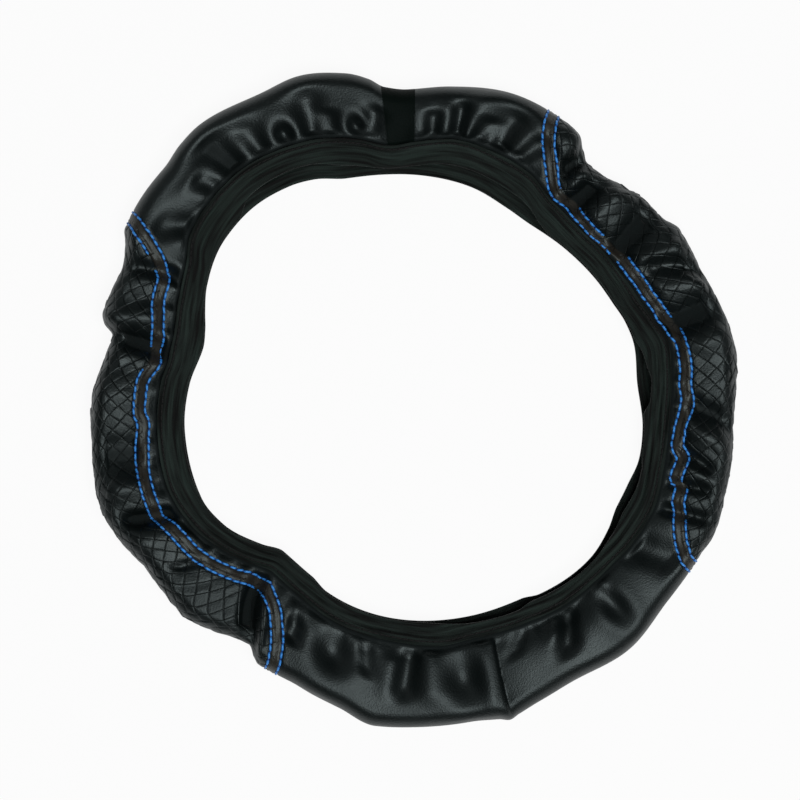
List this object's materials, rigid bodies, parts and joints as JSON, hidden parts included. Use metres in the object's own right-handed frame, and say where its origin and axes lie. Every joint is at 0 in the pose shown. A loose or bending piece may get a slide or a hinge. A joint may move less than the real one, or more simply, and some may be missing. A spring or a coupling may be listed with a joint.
{
  "type": "elastic steering wheel cover",
  "caption": "Soft sewn ring with a C-shaped section that slips over a steering wheel's rim: smooth panels, diamond-embossed grips and an elastic band along each inner edge.",
  "frame": {"origin": "under the middle of the whole cover, on the surface that it lies on", "axes": "+Z out of the front face, +Y towards the joining strip at the top of the wheel, +X to the right seen from the front"},
  "size_m": [0.362, 0.3666, 0.0287],
  "materials": {
    "smooth_leathercloth": "satin coated fabric",
    "embossed_leathercloth": "satin, diamond grid embossed",
    "dull_leathercloth": "matt",
    "elastic_webbing": "ribbed woven elastic",
    "blue_thread": "bonded sewing thread",
    "black_thread": "sewing thread"
  },
  "bodies": {
    "root": {"top_panel_left": "smooth_leathercloth", "top_panel_right": "smooth_leathercloth", "top_insert": "dull_leathercloth", "bottom_panel": "smooth_leathercloth", "left_grip_panel": "embossed_leathercloth", "right_grip_panel": "embossed_leathercloth", "left_front_edge_strip": "smooth_leathercloth", "left_back_edge_strip": "smooth_leathercloth", "right_front_edge_strip": "smooth_leathercloth", "right_back_edge_strip": "smooth_leathercloth", "front_elastic_band": "elastic_webbing", "back_elastic_band": "elastic_webbing"}
  },
  "joints": []
}
